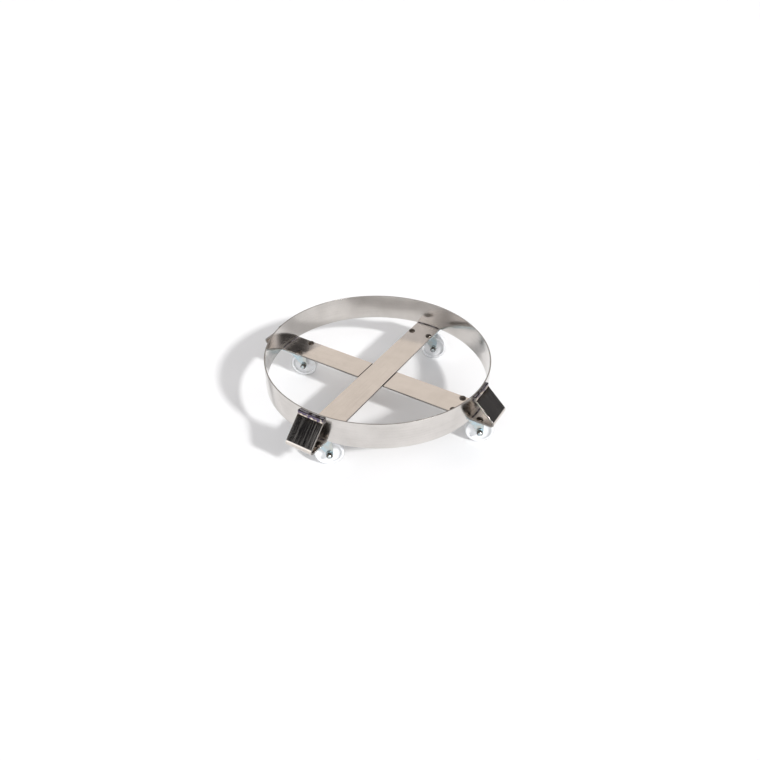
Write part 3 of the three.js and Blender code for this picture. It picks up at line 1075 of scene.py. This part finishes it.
@dataclass(frozen=True)
class BallRace:
    """The ring of balls that the fork turns on."""

    height: float
    circle: float = 17 * MM
    ball: float = 2.35 * MM
    count: int = 18

    def mesh(self, angle: float, place: tuple[float, float]) -> bpy.types.Mesh:
        """The balls: the sine and cosine of two angles, round each ball's place on the circle.

        Args:
            angle: the arm's.
            place: the pivot's.

        Returns:
            One mesh of all the balls.
        """
        rise = np.linspace(-TAU / 4, TAU / 4, 11)[:, None]
        turn = np.arange(16) * TAU / 16
        ball = cylindrical(np.cos(rise), turn, np.sin(rise)) * self.ball
        middles = cylindrical(self.circle, np.arange(self.count) * TAU / self.count, self.height)
        grids = placed(ball[None] + middles[:, None, None], angle, place)
        starts = np.arange(self.count)[:, None, None] * len(rise) * len(turn)
        quads = grid_cells(len(rise), len(turn), False)[2] + starts
        mesh = bpy.data.meshes.new("balls")
        mesh.from_pydata(grids.reshape(-1, 3), [], quads.reshape(-1, 4).tolist())
        return mesh


@dataclass(frozen=True)
class Kingpin:
    """The rivet that holds the fork up, with a domed head, and the lower race round it."""

    radius: float = 6 * MM
    head: float = 9.5 * MM
    dome: float = 1.9 * MM
    head_height: float = 2.7 * MM
    cup_bore: float = 6.5 * MM
    cup_radius: float = 15.5 * MM
    cup_flare: float = 2 * MM

    def rivet(self, low: float, high: float) -> np.ndarray:
        """The rivet, turned.

        Args:
            low: height of its dome's top, which points down.
            high: height of its upper end.

        Returns:
            Rows up the rivet by columns round it.
        """
        dome = arc((0, 0), 1.0, -TAU / 4, 0, 8) * [self.head, self.dome] + [0, low + self.dome]
        under = low + self.head_height
        shank = np.array([[self.head, under], [self.radius, under + 0.05 * MM], [self.radius, high],
                          [0, high]])
        return turned(np.vstack([dome, shank]), 48)

    def cup(self, low: float, high: float) -> np.ndarray:
        """The lower race, a turned ring that flares from its foot.

        Args:
            low: height of its foot.
            high: height of its top.

        Returns:
            A grid that wraps both ways.
        """
        section = np.array([
            [self.cup_bore, low], [self.cup_radius - self.cup_flare, low], [self.cup_radius, low + 2.2 * MM],
            [self.cup_radius, high], [self.cup_bore, high]])
        return turned(rounded_line(section, np.array([3, 15, 15, 5, 3]) * 0.1 * MM, True), 48)


@dataclass(frozen=True)
class PlateBolt:
    """A carriage bolt down through the bar and the plate, with its washer and nut, about its own axis."""

    low: float
    high: float
    bar_top: float
    seat: float
    head_radius: float = 9 * MM
    head_rim: float = 0.9 * MM
    neck: float = 2 * MM
    radius: float = 3.97 * MM
    pitch: float = 1.41 * MM
    washer_radius: float = 8.2 * MM
    washer_gauge: float = 1.2 * MM
    flats: float = 12.7 * MM
    thread_shown: float = 1.5 * MM

    def head(self) -> np.ndarray:
        """The domed head on its short neck.

        Returns:
            Rows up the head by columns round it.
        """
        base, radius = self.bar_top, self.head_radius
        dome = arc((0, 0), 1.0, 0.0, TAU / 4, 12) * [radius, self.high - base - self.head_rim]
        neck = np.array([[0, base - self.neck], [radius / 2, base - self.neck], [radius / 2, base],
                         [radius - 0.25 * MM, base]])
        return turned(np.vstack([neck, dome + [0, base + self.head_rim]]), 48)

    def washer(self) -> np.ndarray:
        """The washer under the plate."""
        return collar(4.3 * MM, self.washer_radius, self.seat - self.washer_gauge, self.seat, 0.2 * MM, 40)

    def nut(self) -> np.ndarray:
        """The nut, just clear of the washer."""
        high = self.seat - self.washer_gauge - 0.05 * MM
        return hex_body(self.flats, self.low + self.thread_shown, high, bore=3.6 * MM)

    def thread(self) -> np.ndarray:
        """The threaded end."""
        return threaded_rod(self.radius, self.low, self.seat, self.pitch)


@dataclass(frozen=True)
class Fork:
    """The pressed channel that carries the wheel: a crown and two legs, with a boss round the axle."""

    trail: float
    axle: float
    crown: float
    half_width: float = 20 * MM
    gauge: float = 2.5 * MM
    bend: float = 4 * MM
    boss: float = 9.5 * MM
    edge: float = 0.45 * MM
    lean: float = math.radians(28.6)

    def limits(self, across: np.ndarray, height: np.ndarray) -> tuple[np.ndarray, np.ndarray]:
        """Where the sheet starts and ends along the trail, at each place round the channel.

        The front follows the boss, a slanted edge and the crown's nose, whichever is further back.
        The rear follows the boss, an upright edge and the crown's tail.

        Args:
            across: distance from the middle plane.
            height: above the floor.

        Returns:
            The front and the rear limit.
        """
        boss = (self.trail, self.axle)
        front_arc = arc(boss, self.boss, -TAU / 4, -TAU / 2 - self.lean, 30)
        front = np.array([[-6, 76], [-9, 80.5], [-20, 82], [-20, 88]]) * MM
        front = rounded_line(np.vstack([front_arc[-1], front]), [0, 6 * MM, 2.5 * MM, 0, 0], False, 6)
        front = np.vstack([front_arc[:-1], front])
        rear_arc = arc(boss, self.boss, -TAU / 4, 0, 23)
        rear = np.array([[37, 72], [32, 80.5], [30, 88]]) * MM
        rear = rounded_line(np.vstack([rear_arc[-1], rear]), [0, 8 * MM, 5 * MM, 0], False, 6)
        rear = np.vstack([rear_arc[:-1], rear])
        nose = -np.sqrt(np.maximum(self.half_width**2 - across**2, 0))
        ahead = np.maximum(np.interp(height, front[:, 1], front[:, 0]), nose)
        return ahead, np.interp(height, rear[:, 1], rear[:, 0])

    def surface(self) -> np.ndarray:
        """The channel's middle sheet, given its gauge and rounded edges.

        The sheet runs up one leg, round a bend, over the crown and down the other leg. At each
        place on that run a rounded section lies along the trail between the two limits, half the
        gauge to each side of the sheet.

        Returns:
            Rows round the channel by columns round the section.
        """
        half = self.half_width - self.gauge / 2
        bend = self.bend - self.gauge / 2
        top = self.crown - self.gauge / 2
        foot = self.axle - self.boss * np.cos(np.linspace(0.12, TAU / 4, 14))
        leg = np.concatenate([foot, np.linspace(self.axle, top - bend, 30)[1:]])
        up = np.stack([np.full_like(leg, -half), leg], -1)
        corner = arc((-half + bend, top - bend), bend, TAU / 2, TAU / 4, 8)[1:]
        crown = np.stack([np.linspace(-half + bend, 0, 14)[1:], np.full(13, top)], -1)
        left = np.vstack([up, corner, crown])
        run = np.vstack([left, (left * [-1, 1])[::-1][1:]])
        way = np.gradient(run, axis=0)
        way /= np.linalg.norm(way, axis=1)[:, None]
        front, rear = self.limits(run[:, 0], run[:, 1])
        section = rounded_section(self.gauge, self.gauge, self.edge)
        side = np.sign(section[:, 0])
        offset = section[:, 0] - side * self.gauge / 2
        along = (front + rear)[:, None] / 2 + side * (rear - front)[:, None] / 2 + offset
        through = section[:, 1]
        across = run[:, 0, None] - through * way[:, 1, None]
        height = run[:, 1, None] + through * way[:, 0, None]
        return np.stack([along, across, height], -1)


@dataclass(frozen=True)
class Wheel:
    """A solid nylon wheel, turned about Z with its middle plane at zero."""

    radius: float
    width: float = 31.75 * MM
    bore: float = 6.8 * MM
    hub: float = 12 * MM
    hub_proud: float = 0.85 * MM
    dish: float = 6.5 * MM
    rim: float = 6.8 * MM
    crown: float = 0.12 * MM

    def surface(self) -> np.ndarray:
        """The wheel's section: tread, rounded shoulders, raised rim, coved dish, hub and bore.

        Returns:
            Rows round the section by columns round the wheel.
        """
        half, radius, web = self.width / 2, self.radius, self.width / 2 - self.dish
        side = np.array([
            [radius + self.crown, 0.0], [radius, 0.5 * MM], [radius, half - 4 * MM],
            [radius - 0.3 * MM, half], [radius - self.rim, half], [radius - self.rim - 1.6 * MM, web],
            [self.hub + 1.4 * MM, web], [self.hub, half + self.hub_proud],
            [self.bore, half + self.hub_proud]])
        cut = np.array([0, 0.2, 3, 3.2, 1.1, 1.6, 1.6, 0.7, 0.4]) * MM
        outline = np.vstack([side, (side * [1, -1])[::-1][:-1]])
        return turned(rounded_line(outline, [*cut, *cut[::-1][:-1]], True, 6), 112)


@dataclass(frozen=True)
class Axle:
    """The axle bolt, its washer and locknut and the sleeve in the hub, turned about Z.

    The head is at the top. The locknut and the thread's end are at the bottom.
    """

    half_width: float
    radius: float = 4.76 * MM
    flats: float = 14.3 * MM
    head_height: float = 6.2 * MM
    nut_height: float = 6.8 * MM
    washer_radius: float = 9.2 * MM
    washer_gauge: float = 1.4 * MM
    thread_end: float = 31.8 * MM
    pitch: float = 1.5 * MM
    sleeve: tuple[float, float, float] = (5.11 * MM, 6.4 * MM, 17.2 * MM)

    @property
    def seat(self) -> float:
        """Where the head and the washer bear on the fork."""
        return self.half_width + 0.05 * MM

    def head(self) -> np.ndarray:
        """The bolt's head, chamfered on its outside only."""
        return hex_body(self.flats, self.seat, self.seat + self.head_height, chamfered_low=False)

    def shank(self) -> np.ndarray:
        """The plain shank, from the fork's far side to inside the head.

        Returns:
            Rows along the shank by columns round it.
        """
        high = self.seat + 1 * MM
        return turned(np.array([[0, -self.half_width], [self.radius, -self.half_width], [self.radius, high],
                                [0, high]]), 32)

    def washer(self) -> np.ndarray:
        """The washer under the locknut."""
        low = -self.seat - self.washer_gauge
        return collar(5 * MM, self.washer_radius, low, -self.seat, 0.25 * MM, 48)

    def locknut(self) -> np.ndarray:
        """The locknut."""
        high = -self.seat - self.washer_gauge
        return hex_body(self.flats, high - self.nut_height, high, bore=self.radius - 0.4 * MM)

    def thread(self) -> np.ndarray:
        """The threaded end."""
        return threaded_rod(self.radius, -self.thread_end, -self.half_width, self.pitch)

    def bush(self) -> np.ndarray:
        """The sleeve between the axle and the hub."""
        bore, outer, half = self.sleeve
        return collar(bore, outer, -half, half, 0.2 * MM, 40)


class Body(Enum):
    """The bodies that a caster's pieces ride on."""

    FRAME = "frame"
    SWIVEL = "swivel"
    WHEEL = "wheel"


@dataclass(frozen=True)
class Caster:
    """One plate caster: plate, bolts, race, kingpin, fork, axle and wheel."""

    arm: Arm
    plan: Plan
    place: tuple[float, float]
    trail: float
    swivel: float
    axle: float
    bolts: tuple[float, float] = (38.1 * MM, 28.575 * MM)
    gap: float = 0.02 * MM

    @classmethod
    def read(cls, arm: Arm, plan: Plan) -> "Caster":
        """Reads a caster's place and its swivel angle from the record's joints.

        Args:
            arm: the arm that carries it.
            plan: the frame's levels.

        Returns:
            The caster.
        """
        joints = {joint["name"]: joint for joint in frame["joints"]}
        pivot = joints[f"swivel_{arm.label}"]["pos_m"]
        axle = joints[f"roll_{arm.label}"]["pos_m"]
        trail = math.dist(pivot[:2], axle[:2])
        swivel = math.atan2(axle[1] - pivot[1], axle[0] - pivot[0])
        return cls(arm, plan, (pivot[0], pivot[1]), trail, swivel, axle[2])

    def node(self, piece: str) -> str:
        """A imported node's name."""
        return f"caster_{self.arm.label}_{piece}"

    def levels(self, piece: str) -> tuple[float, float]:
        """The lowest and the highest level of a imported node."""
        low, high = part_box(self.node(piece))
        return low.z, high.z

    def add(self, piece: str, grid: np.ndarray, finish: Finish, body: Body = Body.FRAME, node: str = "",
            closed: bool = False, sharp: float = 40.0) -> None:
        """Builds and dresses a piece of the caster.

        Args:
            piece: the end of its name.
            grid: its points about the pivot, with the arm along X, or the trail on a turning body.
            finish: its material and slot.
            body: what it rides on.
            node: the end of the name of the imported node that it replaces, if any.
            closed: the last row joins the first.
            sharp: the angle past which an edge stays sharp, in degrees.
        """
        fixed = body is Body.FRAME
        in_place = placed(grid, self.arm.angle if fixed else self.swivel, self.place)
        made = build_piece(f"{self.arm.label}_{piece}", in_place, closed, sharp_degrees=sharp)
        rides_on = body.value if fixed else f"{body.value}_{self.arm.label}"
        dress(made, finish, rides_on, *([self.node(node)] if node else []))

    def build_plate(self, finishes: Finishes) -> None:
        """Builds the plate, its race, the balls and the kingpin.

        Args:
            finishes: the dolly's materials.
        """
        plate = TopPlate(*self.levels("top_plate"))
        self.add("caster_plate", plate.slab(), finishes.zinc, node="top_plate")
        self.add("upper_race", plate.race(), finishes.zinc)
        balls = BallRace(sum(self.levels("ball_race")) / 2).mesh(self.arm.angle, self.place)
        made = link_mesh(f"{self.arm.label}_race_balls", balls)
        dress(made, finishes.bearing, "frame", self.node("ball_race"))
        kingpin = Kingpin()
        self.add("kingpin_rivet", kingpin.rivet(*self.levels("kingpin")), finishes.zinc, node="kingpin")
        cup = kingpin.cup(*self.levels("race_cup"))
        self.add("lower_race", cup, finishes.zinc, node="race_cup", closed=True)

    def build_bolts(self, finishes: Finishes) -> None:
        """Builds the four carriage bolts with their washers and nuts.

        Args:
            finishes: the dolly's materials.
        """
        seat = self.levels("top_plate")[0] - self.gap
        for number, (along, across) in enumerate(((-1, -1), (-1, 1), (1, -1), (1, 1)), 1):
            name, place = f"bolt_{number}", np.array([along * self.bolts[0], across * self.bolts[1], 0])
            bolt = PlateBolt(*self.levels(name), self.plan.bar_top + self.gap, seat)
            self.add(f"{name}_head", bolt.head() + place, finishes.oiled, node=name)
            self.add(f"{name}_washer", bolt.washer() + place, finishes.zinc, closed=True)
            self.add(f"{name}_nut", bolt.nut() + place, finishes.zinc, closed=True)
            self.add(f"{name}_thread", bolt.thread() + place, finishes.zinc, sharp=25.0)

    def build_wheel(self, finishes: Finishes) -> None:
        """Builds the fork, the axle and the wheel.

        The axle's pieces and the wheel are turned about Z and then laid across the fork: Z becomes
        the width, and their axis moves to the axle.

        Args:
            finishes: the dolly's materials.
        """
        fork = Fork(self.trail, self.axle, self.levels("fork")[1])
        axle = Axle(fork.half_width)
        self.add("fork_pressing", fork.surface(), finishes.zinc, Body.SWIVEL, "fork")
        for piece, grid, finish, body, node, closed, sharp in (
                ("axle_head", axle.head(), finishes.oiled, Body.SWIVEL, "axle_bolt", False, 40.0),
                ("axle_shank", axle.shank(), finishes.zinc, Body.SWIVEL, "", False, 40.0),
                ("axle_washer", axle.washer(), finishes.zinc, Body.SWIVEL, "", True, 40.0),
                ("axle_locknut", axle.locknut(), finishes.oiled, Body.SWIVEL, "axle_nut", True, 40.0),
                ("axle_thread", axle.thread(), finishes.zinc, Body.SWIVEL, "", False, 25.0),
                ("axle_bush", axle.bush(), finishes.bearing, Body.SWIVEL, "axle_sleeve", True, 40.0),
                ("nylon_wheel", Wheel(self.axle).surface(), finishes.nylon, Body.WHEEL, "wheel", True, 40.0)):
            laid = np.stack([grid[..., 0] + self.trail, grid[..., 2], self.axle - grid[..., 1]], -1)
            self.add(piece, laid, finish, body, node, closed, sharp)

    def build(self, finishes: Finishes) -> None:
        """Builds and dresses the whole caster.

        Args:
            finishes: the dolly's materials.
        """
        self.build_plate(finishes)
        self.build_bolts(finishes)
        self.build_wheel(finishes)


# ---- the studio -----------------------------------------------------------------------------------


@dataclass(frozen=True)
class Studio:
    """A white floor, a pale surround, a broad key light and the camera.

    Each patch of the surround has its direction in the camera's terms, the cosines of its outer and
    of its full reach, and its tone.
    """

    floor_size: float = 30.0
    surround_tone: str = "d4d5d9"
    surround_strength: float = 1.58
    patches: tuple[tuple[tuple[float, float, float], float, float, str], ...] = (
        ((0.0, 0.80, 0.60), 0.80, 0.93, "c9c3be"),
        ((-0.80, -0.53, 0.10), 0.90, 0.95, "ffffff"),
        ((-0.61, -0.14, 0.77), 0.925, 0.958, "08080a"),
        ((0.82, 0.22, 0.53), 0.89, 0.955, "353537"),
        ((0.98, 0.22, 0.10), 0.93, 0.97, "353537"),
        ((0.0, 0.05, 1.0), 0.77, 0.92, "8c8a88"),
    )
    key_from: tuple[float, float, float] = (0.591, -0.567, 0.574)
    key_strength: float = 2.4
    key_width: float = math.radians(5)
    azimuth: float = math.radians(30.822)
    elevation: float = math.radians(36.602)
    roll: float = math.radians(0.799)
    place: tuple[float, float, float] = (0.79011, -1.31008, 1.21607)
    lens: float = 32.03

    def floor(self) -> None:
        """Lays the floor."""
        half = self.floor_size / 2
        mesh = bpy.data.meshes.new("floor")
        corners = [(-half, -half, 0), (half, -half, 0), (half, half, 0), (-half, half, 0)]
        mesh.from_pydata(corners, [], [(0, 1, 2, 3)])
        sheet = bpy.data.objects.new("floor", mesh)
        bpy.context.scene.collection.objects.link(sheet)
        # A matt white sheet, with the faintest mottling so that it isn't a flat tone.
        finish = MottledFinish("matt_white_sheet", "f4f4f4", "f7f7f7", 0.4, (0.0, 1.0), (0.6, 0.6),
                               patch_detail=2.0, shader=(("Specular IOR Level", 0.3),))
        sheet.data.materials.append(finish.material())

    def toward(self, side: float, depth: float, rise: float) -> Vector:
        """A direction given by its parts in the camera's terms.

        Args:
            side: to the camera's right.
            depth: straight ahead.
            rise: up.

        Returns:
            The direction in the frame, of length one.
        """
        right = Vector((math.cos(self.azimuth), math.sin(self.azimuth), 0))
        ahead = Vector((-math.sin(self.azimuth), math.cos(self.azimuth), 0))
        return (right * side + ahead * depth + Vector((0, 0, rise))).normalized()

    def surround(self) -> None:
        """Makes the surround: brightness by direction only.

        A cool white room has a warmer wall behind the dolly, a white one on the left, and darker
        stretches on the right and overhead, which the folded steel faces and the heads mirror.
        """
        world = bpy.data.worlds.new("surround")
        world.use_nodes = True
        tree = world.node_tree
        tree.nodes.clear()
        direction = add_node(tree, "TexCoord").outputs["Generated"]
        colour = add_node(tree, "RGB").outputs[0]
        colour.default_value = linear(self.surround_tone)
        for parts, outer, full, tone in self.patches:
            near = add_node(tree, "VectorMath", {"operation": "DOT_PRODUCT", 1: tuple(self.toward(*parts))},
                            {0: direction}).outputs["Value"]
            share = add_node(tree, "MapRange", {"From Min": outer, "From Max": full}, {"Value": near})
            over = add_node(tree, "Mix", {"data_type": "RGBA", 7: linear(tone)}, {0: share, 6: colour})
            colour = over.outputs[2]
        background = add_node(tree, "Background", {"Strength": self.surround_strength}, {"Color": colour})
        add_node(tree, "OutputWorld", links={"Surface": background})
        bpy.context.scene.world = world

    def key_light(self) -> None:
        """Hangs the key: one soft-edged lamp, in front on the right and far off."""
        lamp = bpy.data.lights.new("key", "SUN")
        lamp.energy = self.key_strength
        lamp.angle = self.key_width
        holder = bpy.data.objects.new("key", lamp)
        holder.rotation_mode = "QUATERNION"
        holder.rotation_quaternion = self.toward(*self.key_from).to_track_quat("Z", "Y")
        bpy.context.scene.collection.objects.link(holder)

    def camera(self) -> None:
        """Sets up the camera. Its axes come from its azimuth, its elevation and a small roll."""
        az, el, roll = self.azimuth, self.elevation, self.roll
        ahead = Vector((-math.sin(az) * math.cos(el), math.cos(az) * math.cos(el), -math.sin(el)))
        level = Vector((math.cos(az), math.sin(az), 0))
        upright = level.cross(ahead)
        right = level * math.cos(roll) + upright * math.sin(roll)
        up = upright * math.cos(roll) - level * math.sin(roll)
        lens = bpy.data.cameras.new("camera")
        lens.sensor_width = 36.0
        lens.lens = self.lens
        lens.clip_start = 0.05
        lens.clip_end = 60.0
        holder = bpy.data.objects.new("camera", lens)
        turn = Matrix((right, up, -ahead)).transposed().to_4x4()
        holder.matrix_world = Matrix.Translation(self.place) @ turn
        bpy.context.scene.collection.objects.link(holder)
        bpy.context.scene.camera = holder

    def build(self) -> None:
        """Sets up the whole studio."""
        self.floor()
        self.surround()
        self.key_light()
        self.camera()
        bpy.context.scene.view_settings.view_transform = "Standard"


def main() -> None:
    """Builds the dolly and its studio."""
    logging.basicConfig(level=logging.INFO, format="%(message)s")
    finishes = Finishes.make()
    plan = Plan.read()
    line = ArmLine(plan)
    RingBand(plan).build(finishes)
    Cross(plan, line).build(finishes)
    Welds(plan, line).build(finishes)
    for arm in Arm:
        Caster.read(arm, plan).build(finishes)
    Studio().build()


if __name__ == "__main__":
    main()
